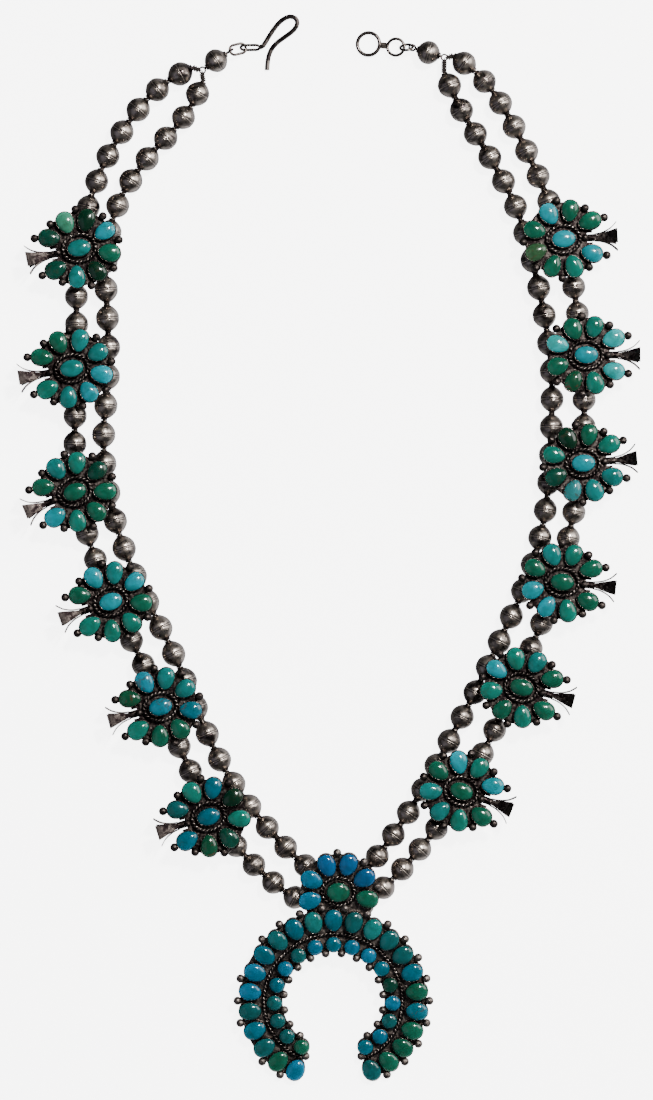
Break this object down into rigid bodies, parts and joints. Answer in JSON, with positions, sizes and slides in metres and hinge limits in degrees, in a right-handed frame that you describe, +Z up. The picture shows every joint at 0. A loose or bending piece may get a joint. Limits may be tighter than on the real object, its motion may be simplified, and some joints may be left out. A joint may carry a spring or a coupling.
{
  "type": "squash blossom necklace",
  "caption": "Double-strand silver bead necklace with turquoise squash blossoms and a crescent pendant set with turquoise, closed by a hook and eye.",
  "frame": {"origin": "centre of the necklace's box, on the surface that it lies on", "axes": "+Y from the pendant up to the clasp, +X to the viewer's right, +Z up off the surface"},
  "size_m": [0.2074, 0.3566, 0.0145],
  "materials": {
    "bead_silver": "worn, darkened silver with a soft polish",
    "setting_silver": "darkened cast and soldered silver, bright on its edges",
    "clasp_silver": "drawn silver wire, lightly tarnished",
    "turquoise": "polished",
    "thread": "waxed"
  },
  "bodies": {
    "root": {"beads_outer": "bead_silver", "beads_inner": "bead_silver", "thread_outer": "thread", "thread_inner": "thread", "end_bead_left": "bead_silver", "end_bead_right": "bead_silver", "end_wire_left": "clasp_silver", "end_wire_right": "clasp_silver", "hook": "clasp_silver", "hook_link": "clasp_silver", "clasp_eye": "clasp_silver", "eye_link": "clasp_silver", "naja_setting": "setting_silver", "naja_row_stones": "turquoise", "naja_tip_stone_left": "turquoise", "naja_tip_stone_right": "turquoise", "rosette_heart_stone": "turquoise", "rosette_petal_stone_1": "turquoise", "rosette_petal_stone_2": "turquoise", "rosette_petal_stone_3": "turquoise", "rosette_petal_stone_4": "turquoise", "rosette_petal_stone_5": "turquoise", "rosette_petal_stone_6": "turquoise", "blossom_left_1_setting": "setting_silver", "blossom_left_1_petal_stones": "turquoise", "blossom_left_1_heart_stone": "turquoise", "blossom_left_2_setting": "setting_silver", "blossom_left_2_petal_stones": "turquoise", "blossom_left_2_heart_stone": "turquoise", "blossom_left_3_setting": "setting_silver", "blossom_left_3_petal_stones": "turquoise", "blossom_left_3_heart_stone": "turquoise", "blossom_left_4_setting": "setting_silver", "blossom_left_4_petal_stones": "turquoise", "blossom_left_4_heart_stone": "turquoise", "blossom_left_5_setting": "setting_silver", "blossom_left_5_petal_stones": "turquoise", "blossom_left_5_heart_stone": "turquoise", "blossom_left_6_setting": "setting_silver", "blossom_left_6_petal_stones": "turquoise", "blossom_left_6_heart_stone": "turquoise", "blossom_right_1_setting": "setting_silver", "blossom_right_1_petal_stones": "turquoise", "blossom_right_1_heart_stone": "turquoise", "blossom_right_2_setting": "setting_silver", "blossom_right_2_petal_stones": "turquoise", "blossom_right_2_heart_stone": "turquoise", "blossom_right_3_setting": "setting_silver", "blossom_right_3_petal_stones": "turquoise", "blossom_right_3_heart_stone": "turquoise", "blossom_right_4_setting": "setting_silver", "blossom_right_4_petal_stones": "turquoise", "blossom_right_4_heart_stone": "turquoise", "blossom_right_5_setting": "setting_silver", "blossom_right_5_petal_stones": "turquoise", "blossom_right_5_heart_stone": "turquoise", "blossom_right_6_setting": "setting_silver", "blossom_right_6_petal_stones": "turquoise", "blossom_right_6_heart_stone": "turquoise"}
  },
  "joints": []
}
